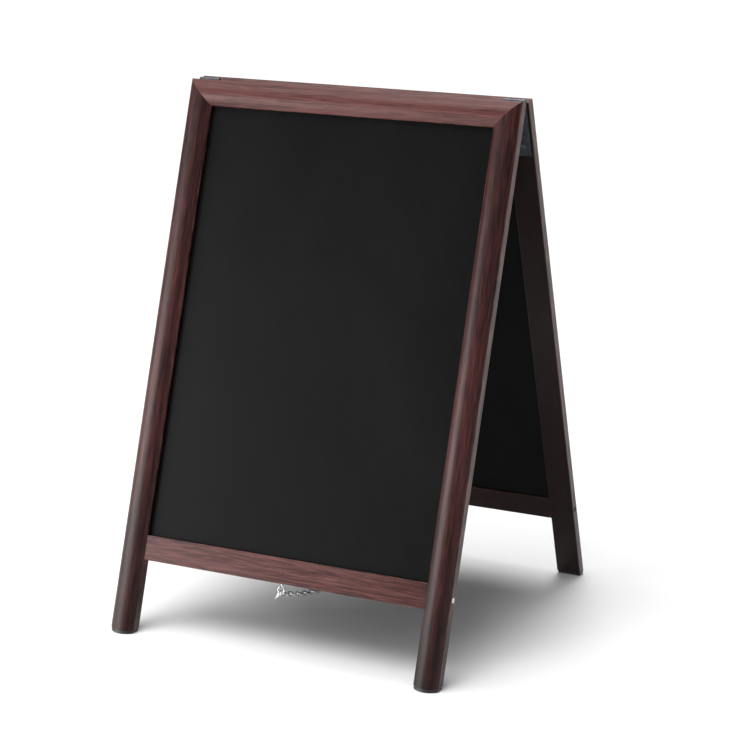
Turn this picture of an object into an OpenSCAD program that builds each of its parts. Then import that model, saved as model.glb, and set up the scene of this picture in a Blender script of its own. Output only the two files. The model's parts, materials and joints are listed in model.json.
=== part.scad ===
// Folding wooden sandwich board: two identical mitred frames, each with a chalkboard,
// joined at the top by two strap hinges and at the bottom by a welded-link chain.
// +Z up, X across the board, the front frame at -Y. Origin on the floor, under the hinges.

/* [Frames] */
// Width of each frame
board_w = 550; // [480:10:640]
// Length of each frame's inner face, from the floor to the top edge
panel_len = 850; // [760:10:960]
// Full angle between the two frames when open
open_angle = 36.4; // [32:0.2:40]
// Width of the stile and top rail moulding
stile_w = 40; // [38:1:46]
// Thickness of the moulding at its edges, and of the bottom rail
edge_t = 15; // [14:1:18]
// Rise of the moulding's rounded face above its edges
crown = 9; // [6:1:11]
// Height of the bottom rail
rail_h = 38; // [36:1:46]
// Lower edge of the bottom rail, measured up the frame from the floor
rail_low = 109; // [100:1:130]

/* [Chalkboard] */
// Thickness of the chalkboard panel
board_t = 5; // [4:0.5:6]
// How far the chalkboard's back lies inside the frame's inner face
board_back = 3; // [2:0.5:4]
// Depth of the groove that holds the chalkboard
groove_d = 5; // [4:0.5:5.5]

/* [Feet] */
// Thickness of the plastic foot pads
pad_t = 5; // [4:0.5:8]
// How far each pad stays inside the leg's outline
pad_inset = 1; // [0.5:0.5:2]

/* [Hinges] */
// Width of a strap hinge, along its pin
strap_w = 34; // [30:1:36]
// Length of one strap, down from the pin
strap_len = 89; // [80:1:110]
// Thickness of the hinge steel
strap_t = 1.5; // [1.2:0.1:1.8]
// Diameter of the hinge pin
pin_d = 3; // [2.6:0.1:3.4]

/* [Chain] */
// Outer length of a chain link
link_len = 16.2; // [15.6:0.1:17]
// Outer width of a chain link
link_w = 8.6; // [8.2:0.1:9]
// Diameter of the link wire
link_wire = 2.1; // [1.8:0.1:2.2]
// Least length of the chain, as a share of the gap that it spans
chain_slack = 1.02; // [1.01:0.005:1.04]

/* [Screw eyes] */
// Outer diameter of the screw eye's ring
eye_d = 12.5; // [12:0.5:14]
// Diameter of the screw eye's wire
eye_wire = 2.2; // [2:0.1:2.4]
// Distance from the bottom rail down to the ring's centre
eye_drop = 9; // [8:0.5:12]

/* [Hidden] */
$fn = 48;

tilt = open_angle / 2;
half_w = board_w / 2;
inner_half = half_w - stile_w;
far = 300;

// Rounded face of the moulding: an arc over the full width
crown_r = (pow(stile_w / 2, 2) + crown * crown) / (2 * crown);

// Hinge: the barrel's radius is also the gap between the pin's axis and the inner face
barrel_r = pin_d / 2 + strap_t;
pin_above_top = 3.3;
pin_s = panel_len + pin_above_top;
pin_z = pin_s * cos(tilt) - barrel_r * sin(tilt);
run_gap = 0.05;
knuckle_gap = 0.25;
barrel_clear = 0.4;
hinge_x = half_w - 4 - strap_w / 2;
hinge_screw_drops = [33, 53, 73];
hinge_screw_stagger = 5;
hinge_screw_len = 12;
hinge_screw_r = 1.75;
hinge_head_r = 3.4;

// Bottom rail joint: two dowels and one long screw in each end
mid_edge = edge_t / 2;
rail_mid = rail_low + rail_h / 2;
rail_top = rail_low + rail_h;
dowel_r = 3;
dowel_len = 36;
dowel_offset = rail_h / 4;
rail_screw_len = 70;
rail_screw_r = 2;
rail_head_r = 4.2;

// Splines across the mitres, behind the crown and in front of the hinge screws
key_t = 3.2;
key_len = 30;
key_w = 16;
key_depth = 11;

groove_play = 0.2;
hole_play = 0.05;
nail_len = 22;
nail_r = 1;
nail_head_r = 3;
nail_head_t = 1.2;
nail_recess = 1.5;
nail_back = 10;
recess_w = 0.9;
recess_deep = 0.9;
pin_head_r = pin_d / 2 + 0.7;
pin_head_t = 0.6;

// Screw eye and chain
eye_r = (eye_d - eye_wire) / 2;
eye_shank = 15;
eye_s = rail_low - eye_drop;
chain_x = 1.4;
spare_lean = 28;
bow_r = (link_w - link_wire) / 2;
link_straight = link_len - link_w;
link_in = link_len - 2 * link_wire;
link_play = 0.2;
eye_play = 0.4;
pitch = link_in - link_play;
end_reach = link_in / 2 - eye_wire / 2 - eye_play;

// A point inside a frame's thickness, n out of its inner face and s up it, when it stands open
function frame_y(n, s) = -(barrel_r + n) * cos(tilt) - (pin_s - s) * sin(tilt);
function frame_z(n, s) = pin_z + (barrel_r + n) * sin(tilt) - (pin_s - s) * cos(tilt);
// Height up the frame of the ring's lower wire, x to the side of its centre
function ring_s(x) = eye_s - sqrt(eye_r * eye_r - x * x);

chain_start = [chain_x, frame_y(mid_edge, ring_s(chain_x)), frame_z(mid_edge, ring_s(chain_x))];
span = -2 * chain_start.y;
links = 4 * ceil(((chain_slack * span - 2 * end_reach) / pitch - 2) / 4) + 3;
mid_link = (links + 1) / 2;
drop_links = 7;
bight_links = 2;

// Distance that the chain spans when each link turns by the angle a past the one before
function sum(list, i = 0) = i < len(list) ? list[i] + sum(list, i + 1) : 0;
function reach(a) = 2 * (end_reach + pitch / 2) * cos((mid_link - 1) * a)
    + pitch * sum([for (i = [2:links - 1]) cos((i - mid_link) * a)]);
// The turn per link at which the chain just spans the gap, by halving an interval
function turn_between(low, high, rounds) =
    let (middle = (low + high) / 2)
    rounds == 0 ? middle
    : reach(middle) > span ? turn_between(middle, high, rounds - 1)
    : turn_between(low, middle, rounds - 1);
link_turn = turn_between(0, 3, 30);

function slope(i) = (i - mid_link) * link_turn;
function along(a, d) = [0, d * cos(a), d * sin(a)];
// Centre of link i, counted from the front eye
function link_centre(i) = i == 1
    ? chain_start + along(slope(1), end_reach)
    : link_centre(i - 1) + along(slope(i - 1), pitch / 2) + along(slope(i), pitch / 2);

wood = [0.30, 0.17, 0.15];
bare_wood = [0.72, 0.58, 0.42];
slate = [0.13, 0.13, 0.14];
plastic = [0.16, 0.16, 0.17];
steel = [0.62, 0.64, 0.67];
hinge_steel = [0.42, 0.46, 0.50];

// ---- Placing a frame ----
// Frame coordinates: inner face on y = 0, rounded face towards -y, z up the frame from the
// floor. A frame leans back on its hinge pins, and the rear frame is the front one turned round.
module front_place() {
    translate([0, 0, pin_z]) rotate([-tilt, 0, 0]) translate([0, -barrel_r, -pin_s]) children();
}

module rear_place() {
    rotate([0, 0, 180]) front_place() children();
}

// What lies between two heights above the floor, in frame coordinates
module between_levels(low, high) {
    rotate([tilt, 0, 0]) translate([-board_w, -far / 2, low]) cube([2 * board_w, far, high - low]);
}

module both_sides() {
    children();
    mirror([1, 0, 0]) children();
}

// ---- Fasteners ----
// A countersunk screw pointing along +z, its head's face on z = 0
module screw(long, r, head_r, play = 0) {
    point = 3 * r;
    cylinder(r = r + play, h = long - point + play);
    translate([0, 0, long - point + play]) cylinder(r1 = r + play, r2 = 0.3, h = point);
    cylinder(r1 = head_r + play, r2 = r + play, h = head_r - r);
}

module cross_recess(r) {
    for (a = [0, 90]) rotate([0, 0, a])
        translate([-r, -recess_w / 2, -1]) cube([2 * r, recess_w, 1 + recess_deep]);
}

module rail_screw_place() {
    translate([half_w, -mid_edge, rail_mid]) rotate([0, -90, 0]) children();
}

module hinge_screw_places() {
    for (i = [0:len(hinge_screw_drops) - 1])
        translate([hinge_x + (i % 2 == 0 ? 1 : -1) * hinge_screw_stagger, strap_t,
                pin_s - hinge_screw_drops[i]])
            rotate([90, 0, 0]) children();
}

// ---- Wood ----
// A length of moulding from z = low to z = high, its inner face on y = 0, drawn in by inset
module moulding(low, high, inset = 0) {
    width = stile_w - 2 * inset;
    intersection() {
        translate([-width / 2, -far, low]) cube([width, far - inset, high - low]);
        translate([0, crown_r - edge_t - crown, low])
            cylinder(r = crown_r - inset, h = high - low, $fn = 96);
    }
}

// One side of the right-hand mitre: up = 1 is the rail's side, up = 0 the stile's
module mitre_side(up) {
    translate([half_w, 0, panel_len]) rotate([0, -45, 0])
        translate([-3 * stile_w, -far / 2, up == 1 ? 0 : -3 * stile_w])
            cube([4 * stile_w, far, 3 * stile_w]);
}

module mitre_key(play = 0) {
    translate([half_w - stile_w / 2, -key_depth - key_t / 2, panel_len - stile_w / 2])
        rotate([0, -45, 0])
            cube([key_len + 2 * play, key_t + 2 * play, key_w + 2 * play], center = true);
}

module rail_dowels_right(play = 0) {
    for (side = [-1, 1])
        translate([inner_half - dowel_len / 2 - play, -mid_edge, rail_mid + side * dowel_offset])
            rotate([0, 90, 0]) cylinder(r = dowel_r + play, h = dowel_len + 2 * play);
}

// Level coordinates under the right foot, with the floor on z = 0
module foot_place() {
    rotate([tilt, 0, 0]) translate([half_w - stile_w / 2, -nail_back, 0]) children();
}

// A nail through the right foot's pad, straight up into the leg
module pad_nail(play = 0) {
    foot_place() translate([0, 0, nail_recess]) {
        cylinder(r = nail_head_r + play, h = nail_head_t);
        cylinder(r = nail_r + play, h = nail_len + play);
    }
}

// The stile at x > 0
module stile() {
    difference() {
        translate([half_w - stile_w / 2, 0, 0]) moulding(-crown - edge_t, panel_len);
        mitre_side(1);
        between_levels(-far, pad_t);
        translate([inner_half - 1, -board_back - board_t - groove_play,
                rail_top - groove_d - groove_play])
            cube([1 + groove_d + groove_play, board_t + 2 * groove_play, panel_len]);
        mitre_key(hole_play);
        rail_dowels_right(hole_play);
        rail_screw_place() screw(rail_screw_len, rail_screw_r, rail_head_r, hole_play);
        hinge_screw_places() screw(hinge_screw_len, hinge_screw_r, hinge_head_r, hole_play);
        pad_nail(hole_play);
    }
}

module top_rail() {
    color(wood) difference() {
        translate([0, 0, panel_len - stile_w / 2]) rotate([0, 90, 0]) moulding(-half_w, half_w);
        both_sides() {
            mitre_side(0);
            mitre_key(hole_play);
        }
        translate([-half_w, -board_back - board_t - groove_play, panel_len - stile_w - 1])
            cube([board_w, board_t + 2 * groove_play, 1 + groove_d + groove_play]);
    }
}

module bottom_rail() {
    color(wood) difference() {
        translate([-inner_half, -edge_t, rail_low]) cube([2 * inner_half, edge_t, rail_h]);
        translate([-half_w, -board_back - board_t - groove_play,
                rail_top - groove_d - groove_play])
            cube([board_w, board_t + 2 * groove_play, 2 * groove_d]);
        both_sides() {
            rail_dowels_right(hole_play);
            rail_screw_place() screw(rail_screw_len, rail_screw_r, rail_head_r, hole_play);
        }
        translate([0, -mid_edge, rail_low - 1])
            cylinder(r = eye_wire / 2 + hole_play, h = 1 + eye_shank + hole_play);
    }
}

module chalkboard() {
    color(slate)
        translate([-inner_half - groove_d, -board_back - board_t, rail_top - groove_d])
            cube([2 * (inner_half + groove_d), board_t,
                panel_len - stile_w - rail_top + 2 * groove_d]);
}

module mitre_keys() {
    color(bare_wood) both_sides() mitre_key();
}

module rail_dowels() {
    color(bare_wood) both_sides() rail_dowels_right();
}

module rail_screws() {
    color(steel) both_sides() rail_screw_place() difference() {
        screw(rail_screw_len, rail_screw_r, rail_head_r);
        cross_recess(rail_screw_r);
    }
}

// ---- Feet ----
module foot_pads() {
    color(plastic) both_sides() difference() {
        intersection() {
            translate([half_w - stile_w / 2, 0, 0]) moulding(-crown - edge_t, 3 * pad_t, pad_inset);
            between_levels(0, pad_t);
        }
        pad_nail(hole_play);
        foot_place() translate([0, 0, -1]) cylinder(r = nail_head_r + hole_play, h = 2 + nail_recess);
    }
}

module pad_nails() {
    color(steel) both_sides() pad_nail();
}

// ---- Screw eye ----
module screw_eye() {
    color(steel) translate([0, -mid_edge, eye_s]) {
        rotate([90, 0, 0]) rotate_extrude() translate([eye_r, 0]) circle(d = eye_wire);
        translate([0, 0, eye_r]) cylinder(d = eye_wire, h = eye_drop - eye_r + eye_shank);
    }
}

// ---- Strap hinges ----
// A length of the barrel, from x = low to x = high along the pin's axis
module barrel(low, high, r) {
    translate([hinge_x + low, barrel_r, pin_s]) rotate([0, 90, 0]) cylinder(r = r, h = high - low);
}

// The strap of the hinge at x > 0. The front strap has the outer two knuckles and grips the
// pin; the rear strap has the middle knuckle and turns on it.
module strap(front) {
    edge = strap_w / 2;
    middle = strap_w / 6;
    color(hinge_steel) difference() {
        union() {
            translate([hinge_x - edge, 0, pin_s - strap_len]) cube([strap_w, strap_t, strap_len]);
            barrel(-edge, edge, barrel_r);
        }
        if (front) {
            barrel(-middle - knuckle_gap, middle + knuckle_gap, barrel_r + barrel_clear);
        } else {
            barrel(-edge - 1, -middle, barrel_r + barrel_clear);
            barrel(middle, edge + 1, barrel_r + barrel_clear);
        }
        barrel(-edge - 1, edge + 1, pin_d / 2 + (front ? 0 : run_gap));
        hinge_screw_places() screw(hinge_screw_len, hinge_screw_r, hinge_head_r, hole_play);
    }
}

module hinge_pin() {
    edge = strap_w / 2;
    color(steel) {
        barrel(-edge, edge, pin_d / 2);
        barrel(-edge - pin_head_t, -edge, pin_head_r);
        barrel(edge, edge + pin_head_t, pin_head_r);
    }
}

module hinge_screws() {
    color(steel) both_sides() hinge_screw_places() difference() {
        screw(hinge_screw_len, hinge_screw_r, hinge_head_r);
        cross_recess(hinge_screw_r);
    }
}

// ---- Chain ----
// A link whose length lies at the given slope in the YZ plane: flat, or turned on its edge
module link(slope, flat) {
    rotate([slope, 0, 0]) rotate([0, flat ? 0 : 90, 0]) for (end = [0, 180]) rotate([0, 0, end]) {
        translate([0, link_straight / 2, 0])
            rotate_extrude(angle = 180) translate([bow_r, 0]) circle(d = link_wire, $fn = 24);
        translate([bow_r, -link_straight / 2, 0])
            rotate([-90, 0, 0]) cylinder(d = link_wire, h = link_straight, $fn = 24);
    }
}

// The odd links stand on edge and the even ones lie flat
module chain_links(first, last) {
    color(steel) for (i = [first:last])
        translate(link_centre(i)) link(slope(i), i % 2 == 0);
}

// ---- Nodes ----
module front_left_stile() { color(wood) front_place() mirror([1, 0, 0]) stile(); }
module front_right_stile() { color(wood) front_place() stile(); }
module front_top_rail() { front_place() top_rail(); }
module front_bottom_rail() { front_place() bottom_rail(); }
module front_chalkboard() { front_place() chalkboard(); }
module front_mitre_keys() { front_place() mitre_keys(); }
module front_rail_dowels() { front_place() rail_dowels(); }
module front_rail_screws() { front_place() rail_screws(); }
module front_foot_pads() { front_place() foot_pads(); }
module front_pad_nails() { front_place() pad_nails(); }
module front_screw_eye() { front_place() screw_eye(); }
module rear_left_stile() { color(wood) rear_place() stile(); }
module rear_right_stile() { color(wood) rear_place() mirror([1, 0, 0]) stile(); }
module rear_top_rail() { rear_place() top_rail(); }
module rear_bottom_rail() { rear_place() bottom_rail(); }
module rear_chalkboard() { rear_place() chalkboard(); }
module rear_mitre_keys() { rear_place() mitre_keys(); }
module rear_rail_dowels() { rear_place() rail_dowels(); }
module rear_rail_screws() { rear_place() rail_screws(); }
module rear_foot_pads() { rear_place() foot_pads(); }
module rear_pad_nails() { rear_place() pad_nails(); }
module rear_screw_eye() { rear_place() screw_eye(); }
module left_hinge_front_strap() { front_place() mirror([1, 0, 0]) strap(true); }
module left_hinge_rear_strap() { rear_place() strap(false); }
module left_hinge_pin() { front_place() mirror([1, 0, 0]) hinge_pin(); }
module right_hinge_front_strap() { front_place() strap(true); }
module right_hinge_rear_strap() { rear_place() mirror([1, 0, 0]) strap(false); }
module right_hinge_pin() { front_place() hinge_pin(); }
module front_hinge_screws() { front_place() hinge_screws(); }
module rear_hinge_screws() { rear_place() hinge_screws(); }
module chain_front_drop() { chain_links(1, drop_links); }
module chain_front_run() { chain_links(drop_links + 1, mid_link - bight_links); }
module chain_bight() { chain_links(mid_link - bight_links + 1, mid_link); }
module chain_rear_run() { chain_links(mid_link + 1, links - drop_links); }
module chain_rear_drop() { chain_links(links - drop_links + 1, links); }
// Hangs beside the chain, squarely across the part of the ring that it grips
module chain_spare_link() {
    spare_x = -eye_r * sin(spare_lean);
    spare_s = ring_s(spare_x);
    color(steel) translate([spare_x, frame_y(mid_edge, spare_s), frame_z(mid_edge, spare_s)])
        rotate([0, spare_lean, 0]) translate([0, 0, -end_reach]) link(90, false);
}

front_left_stile();
front_right_stile();
front_top_rail();
front_bottom_rail();
front_chalkboard();
front_mitre_keys();
front_rail_dowels();
front_rail_screws();
front_foot_pads();
front_pad_nails();
front_screw_eye();
rear_left_stile();
rear_right_stile();
rear_top_rail();
rear_bottom_rail();
rear_chalkboard();
rear_mitre_keys();
rear_rail_dowels();
rear_rail_screws();
rear_foot_pads();
rear_pad_nails();
rear_screw_eye();
left_hinge_front_strap();
left_hinge_rear_strap();
left_hinge_pin();
right_hinge_front_strap();
right_hinge_rear_strap();
right_hinge_pin();
front_hinge_screws();
rear_hinge_screws();
chain_front_drop();
chain_front_run();
chain_bight();
chain_rear_run();
chain_rear_drop();
chain_spare_link();
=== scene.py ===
"""The looks of a folding wooden sandwich board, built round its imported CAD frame, in metres.

Frame coordinates, used for both A-frame halves: x across the board, y = 0 on the inner face with
the rounded face towards -y, z up the frame from the floor. FRONT and REAR put them in place.
"""

import json
import math
from math import cos, pi, radians, sin

import bmesh
import bpy
import numpy as np
from mathutils import Matrix, Vector


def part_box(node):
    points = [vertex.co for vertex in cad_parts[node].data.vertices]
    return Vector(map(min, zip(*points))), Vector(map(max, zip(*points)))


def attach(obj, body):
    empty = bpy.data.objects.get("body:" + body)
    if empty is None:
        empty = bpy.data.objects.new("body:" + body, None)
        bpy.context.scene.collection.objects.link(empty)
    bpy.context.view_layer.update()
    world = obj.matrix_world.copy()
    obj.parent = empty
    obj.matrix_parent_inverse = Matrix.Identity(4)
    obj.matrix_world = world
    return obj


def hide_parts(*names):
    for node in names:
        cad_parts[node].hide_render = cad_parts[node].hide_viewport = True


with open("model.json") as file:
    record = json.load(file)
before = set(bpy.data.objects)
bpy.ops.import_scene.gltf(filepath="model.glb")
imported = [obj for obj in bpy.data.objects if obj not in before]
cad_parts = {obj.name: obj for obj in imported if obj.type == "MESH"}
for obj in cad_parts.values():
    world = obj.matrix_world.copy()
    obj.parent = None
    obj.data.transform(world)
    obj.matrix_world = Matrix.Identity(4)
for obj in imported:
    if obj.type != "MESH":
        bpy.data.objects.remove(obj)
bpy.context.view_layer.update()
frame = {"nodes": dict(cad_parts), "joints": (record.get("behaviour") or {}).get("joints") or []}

MM = 0.001

# ---- Sizes, from the frame where it gives them ----
FOLD = next(joint for joint in frame["joints"] if joint["name"] == "fold")
PIN_Z = FOLD["pos_m"][2]
TILT = radians(FOLD["range_deg"][1]) / 2
BARREL_R = 3 * MM
PIN_S = (PIN_Z + BARREL_R * sin(TILT)) / cos(TILT)
FRONT = (
    Matrix.Translation((0, 0, PIN_Z))
    @ Matrix.Rotation(-TILT, 4, "X")
    @ Matrix.Translation((0, -BARREL_R, -PIN_S))
)
REAR = Matrix.Rotation(pi, 4, "Z") @ FRONT
PLACES = {"front": FRONT, "rear": REAR}
# The side of each half, in its own coordinates, that is on the whole board's left
LEFT_SIDE = {"front": -1, "rear": 1}
SIDES = (-1, 1)


def up_frame(depth, height):
    """How far up the frame a point lies that is this deep from the inner face and this high."""
    return PIN_S - (PIN_Z + (BARREL_R + depth) * sin(TILT) - height) / cos(TILT)


EDGE_T = 15 * MM
CROWN = 9 * MM
HALF_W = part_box("front_top_rail")[1].x
STILE_W = HALF_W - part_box("front_right_stile")[0].x
INNER_HALF = HALF_W - STILE_W
CROWN_R = ((STILE_W / 2) ** 2 + CROWN**2) / (2 * CROWN)
PANEL_LEN = up_frame(EDGE_T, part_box("front_top_rail")[1].z)
RAIL_LOW = up_frame(0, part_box("front_bottom_rail")[0].z)
RAIL_TOP = up_frame(EDGE_T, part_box("front_bottom_rail")[1].z)
RAIL_MID = (RAIL_LOW + RAIL_TOP) / 2
BOARD_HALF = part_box("front_chalkboard")[1].x
GROOVE = BOARD_HALF - INNER_HALF
BOARD_BACK = 3 * MM
BOARD_T = 5 * MM
BOARD_EASE = 0.5 * MM
BOARD_CHAMFER = 0.3 * MM
PAD_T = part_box("front_foot_pads")[1].z
PAD_INSET = 1 * MM
STRAP_T = 1.5 * MM
STRAP_LEN = 89 * MM
HINGE_LOW, HINGE_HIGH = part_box("right_hinge_front_strap")
HINGE_X = (HINGE_LOW.x + HINGE_HIGH.x) / 2
STRAP_W = HINGE_HIGH.x - HINGE_LOW.x
PIN_R = 1.5 * MM
EYE_WIRE = 2.2 * MM
EYE_R = 5.15 * MM
EYE_DROP = 9 * MM
LINK_LEN = 16.2 * MM
LINK_W = 8.6 * MM
LINK_WIRE = 2.1 * MM
WELD_DISTANCE = 0.002 * MM


# ---- Mesh tools ----
def arc(centre, radius, start, end, steps):
    """Points on an arc in a plane, both ends included, angles in radians."""
    turns = [start + (end - start) * i / steps for i in range(steps + 1)]
    return [(centre[0] + radius * cos(a), centre[1] + radius * sin(a)) for a in turns]


def loft(bm, rings, closed=False):
    """Joins rings of equal length with quads, and caps the two ends unless the loft is closed."""
    made = [[bm.verts.new(point) for point in ring] for ring in rings]
    following = made[1:] + made[:1] if closed else made[1:]
    for low, high in zip(made, following):
        for i, vertex in enumerate(low):
            j = (i + 1) % len(low)
            bm.faces.new((vertex, low[j], high[j], high[i]))
    if not closed:
        bm.faces.new(made[0][::-1])
        bm.faces.new(made[-1])
    return [vertex for ring in made for vertex in ring]


def prism(bm, outline, low, high, chamfer):
    """Extrudes an outline, given as a function of its inset, along z with small chamfers."""
    rings = [(chamfer, low), (0.0, low + chamfer), (0.0, high - chamfer), (chamfer, high)]
    return loft(bm, [[(x, y, z) for x, y in outline(inset)] for inset, z in rings])


def revolve(bm, profile, sides):
    """Turns a profile of (radius, height) points about z."""
    angles = [2 * pi * i / sides for i in range(sides)]
    return loft(bm, [[(r * cos(a), r * sin(a), z) for a in angles] for r, z in profile])


def wire(bm, path, normal, radius, sides, closed=False):
    """A round wire along a path in a plane. radius takes the ring's number and the angle round."""
    points = [Vector(point) for point in path]
    count = len(points)
    rings = []
    for i, point in enumerate(points):
        before = points[i - 1] if closed or i else point
        after = points[(i + 1) % count] if closed or i < count - 1 else point
        side = (after - before).normalized().cross(normal)
        turns = [2 * pi * k / sides for k in range(sides)]
        rings.append([point + radius(i, a) * (side * cos(a) + normal * sin(a)) for a in turns])
    return loft(bm, rings, closed)


def moved(bm, verts, matrix):
    bmesh.ops.transform(bm, matrix=matrix, verts=verts)


def copies(build, matrices):
    """One mesh that holds what build(bm) makes, once at each matrix."""
    bm = bmesh.new()
    for matrix in matrices:
        moved(bm, build(bm), matrix)
    return bm


def mesh_of(bm, name):
    bmesh.ops.recalc_face_normals(bm, faces=bm.faces)
    mesh = bpy.data.meshes.new(name)
    bm.to_mesh(mesh)
    bm.free()
    return mesh


def cad_copy(nodes, matrix):
    """The CAD solids of these nodes as one closed mesh, in the coordinates that matrix places."""
    bm = bmesh.new()
    for name in nodes:
        bm.from_mesh(frame["nodes"][name].data)
    bmesh.ops.remove_doubles(bm, verts=bm.verts, dist=WELD_DISTANCE)
    moved(bm, bm.verts, matrix.inverted())
    return bm


def islands(bm):
    """The connected groups of vertices, in the order of their first vertex."""
    seen, found = set(), []
    for start in bm.verts:
        if start in seen:
            continue
        seen.add(start)
        group = [start]
        for vertex in group:
            for edge in vertex.link_edges:
                near = edge.other_vert(vertex)
                if near not in seen:
                    seen.add(near)
                    group.append(near)
        found.append(group)
    return found


def cut(mesh, cutter):
    """Takes the cutter out of the mesh, and keeps only the largest piece of what is left."""
    name = mesh.name
    tool = mesh_of(cutter, "cutter")
    objects = [bpy.data.objects.new("boolean", data) for data in (mesh, tool)]
    for made in objects:
        bpy.context.scene.collection.objects.link(made)
    modifier = objects[0].modifiers.new("cut", "BOOLEAN")
    modifier.operation = "DIFFERENCE"
    modifier.solver = "EXACT"
    modifier.object = objects[1]
    result = bpy.data.meshes.new_from_object(
        objects[0].evaluated_get(bpy.context.evaluated_depsgraph_get())
    )
    bm = bmesh.new()
    bm.from_mesh(result)
    for made in objects:
        bpy.data.objects.remove(made)
    for used in (mesh, tool, result):
        bpy.data.meshes.remove(used)
    bmesh.ops.dissolve_degenerate(bm, dist=WELD_DISTANCE, edges=bm.edges)
    groups = sorted(islands(bm), key=len)
    loose = [vertex for group in groups[:-1] for vertex in group]
    bmesh.ops.delete(bm, geom=loose, context="VERTS")
    return mesh_of(bm, name)


def show(mesh, matrix, body, nodes, material, sharp=35):
    """Puts a finished mesh in the scene as a piece of its name that stands for CAD nodes."""
    mesh.transform(matrix)
    mesh.materials.clear()
    mesh.materials.append(material)
    mesh.shade_smooth()
    mesh.set_sharp_from_angle(angle=radians(sharp))
    piece = bpy.data.objects.new(mesh.name, mesh)
    bpy.context.scene.collection.objects.link(piece)
    normals = piece.modifiers.new("even shading", "WEIGHTED_NORMAL")
    normals.keep_sharp = True
    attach(piece, body)
    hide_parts(*nodes)


# ---- Material tools ----
def plug(tree, socket, value):
    """Links a socket to another one, or sets its value."""
    if isinstance(value, bpy.types.NodeSocket):
        tree.links.new(value, socket)
    else:
        socket.default_value = value


def add(tree, kind, inputs=(), **settings):
    """A new node. inputs are (name or number, value or socket) pairs."""
    made = tree.nodes.new(kind)
    for key, value in settings.items():
        setattr(made, key, value)
    for key, value in inputs:
        plug(tree, made.inputs[key], value)
    return made


def maths(tree, operation, *values, clamp=False):
    node = add(tree, "ShaderNodeMath", enumerate(values), operation=operation)
    node.use_clamp = clamp
    return node.outputs[0]


def stretched(tree, vector, scale, offset=(0, 0, 0)):
    inputs = [("Vector", vector), ("Scale", scale), ("Location", offset)]
    return add(tree, "ShaderNodeMapping", inputs).outputs[0]


def noise(tree, vector, scale=1.0, detail=2.0, roughness=0.5, distortion=0.0):
    inputs = [("Vector", vector), ("Scale", scale), ("Detail", detail)]
    inputs += [("Roughness", roughness), ("Distortion", distortion)]
    return add(tree, "ShaderNodeTexNoise", inputs).outputs["Fac"]


def ranged(tree, value, low, high, to_low=0.0, to_high=1.0):
    """Maps low..high onto to_low..to_high with soft ends, and holds it there outside."""
    inputs = [(0, value), (1, low), (2, high), (3, to_low), (4, to_high)]
    kind = "ShaderNodeMapRange"
    return add(tree, kind, inputs, interpolation_type="SMOOTHSTEP").outputs[0]


def blend(tree, share, first, second):
    """Mixes two colours."""
    node = add(tree, "ShaderNodeMix", data_type="RGBA")
    for key, value in (("Factor_Float", share), ("A_Color", first), ("B_Color", second)):
        socket = next(s for s in node.inputs if s.identifier == key)
        if not isinstance(value, (float, bpy.types.NodeSocket)):
            value = (*value, 1)
        plug(tree, socket, value)
    return next(s for s in node.outputs if s.identifier == "Result_Color")


def bump(tree, height, distance, strength=1.0):
    inputs = [("Height", height), ("Distance", distance), ("Strength", strength)]
    return add(tree, "ShaderNodeBump", inputs).outputs[0]


def new_material(name, matrix=None):
    """A material, its tree, its shader and its coordinates.

    matrix, the place of a piece, turns the coordinates to lie with it.
    """
    material = bpy.data.materials.new(name)
    material.use_nodes = True
    tree = material.node_tree
    shader = tree.nodes["Principled BSDF"]
    place = add(tree, "ShaderNodeTexCoord").outputs["Object"]
    if matrix:
        back = matrix.inverted()
        inputs = [("Vector", place), ("Location", back.translation), ("Rotation", back.to_euler())]
        place = add(tree, "ShaderNodeMapping", inputs).outputs[0]
    return material, tree, shader, place


def dress(tree, shader, colour, roughness, normal=None):
    plug(tree, shader.inputs["Base Color"], colour)
    plug(tree, shader.inputs["Roughness"], roughness)
    if normal is not None:
        plug(tree, shader.inputs["Normal"], normal)


# ---- Materials ----
# The dark end of the stain, also used as the colour of the painted shade on inner faces.
DARK_STAIN_AND_SHADE = (0.0105, 0.0045, 0.0044)
RED_STAIN = (0.066, 0.0175, 0.0155)
# The pale end of the stain, which the rails' painted sheen also reaches.
PALE_STAIN_AND_SHEEN = (0.160, 0.0560, 0.0510)
WORN_EDGE = (0.190, 0.1000, 0.0800)
RINGS_PER_METRE = 210.0
RING_WANDER = 9.0
PITH = (0.021, 0.034, 0.0)
LATE_WOOD_DEPTH = 0.22
FIBRE_DEPTH = 0.42
PORE_DEPTH = 0.6
# How strongly the inner face is darkened as painted shade.
INNER_FACE_PAINTED_SHADE = 0.9
HOLE_DEPTH = 0.75
SEAM_DEPTH = 0.45
WEAR_DEPTH = 0.5
# How far up a leg it gets darker towards the floor.
LOW_DARKENING_UP_TO = 0.22
WOOD_RELIEF = 0.05 * MM
WOOD_SPECULAR = 0.26
WOOD_COAT = 0.08
WOOD_COAT_ROUGHNESS = 0.35


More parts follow.
